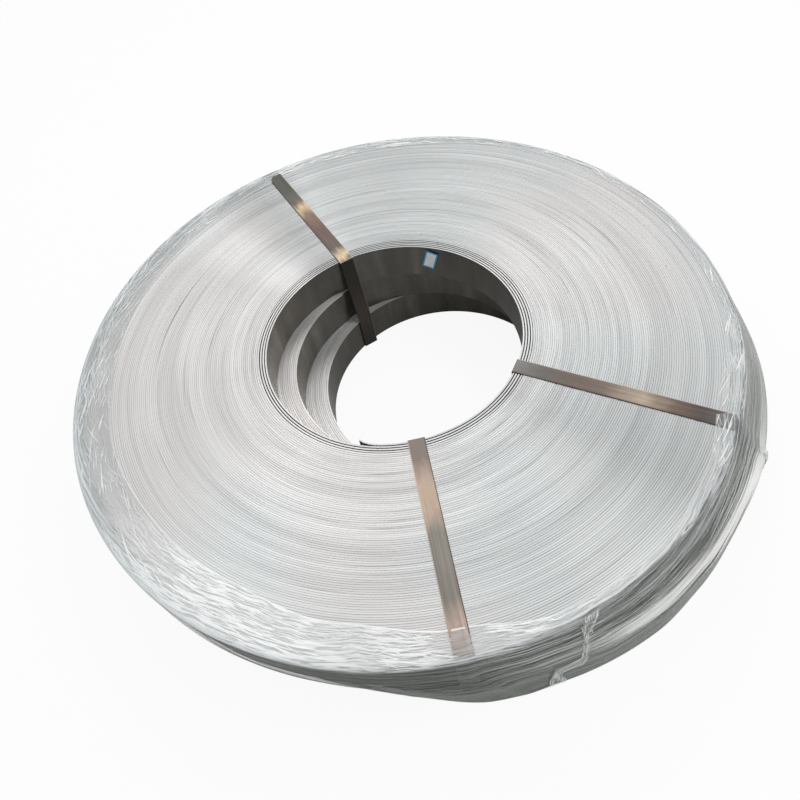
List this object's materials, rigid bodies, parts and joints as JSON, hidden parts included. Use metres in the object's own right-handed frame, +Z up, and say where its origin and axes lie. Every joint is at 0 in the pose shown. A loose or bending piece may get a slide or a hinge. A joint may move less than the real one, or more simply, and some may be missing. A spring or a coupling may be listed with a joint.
{
  "type": "steel coil",
  "caption": "Stack of narrow steel strip coils with upright bores, tied through the bores by flat steel straps and wrapped in clear stretch film.",
  "frame": {"origin": "middle of the pack's footprint, at the underside of the straps it rests on", "axes": "+Z up along the bores, -Y towards the front of the pack, +X towards the side where the lower coils stand out"},
  "size_m": [1.3985, 1.3195, 0.2555],
  "materials": {
    "strip_steel": "bare steel strip edges, satin",
    "strap_steel": "burnished, waxed steel strapping",
    "seal_steel": "crimped plain steel seal",
    "stretch_film": "clear stretch film in several layers",
    "label_paper": "blank sticker with a plain border"
  },
  "bodies": {
    "root": {"coil_top": "strip_steel", "coil_middle": "strip_steel", "coil_bottom": "strip_steel", "strap_back_left": "strap_steel", "strap_right": "strap_steel", "strap_front": "strap_steel", "seal_back_left": "seal_steel", "seal_right": "seal_steel", "seal_front": "seal_steel", "stretch_film": "stretch_film", "bore_label": "label_paper"}
  },
  "joints": []
}
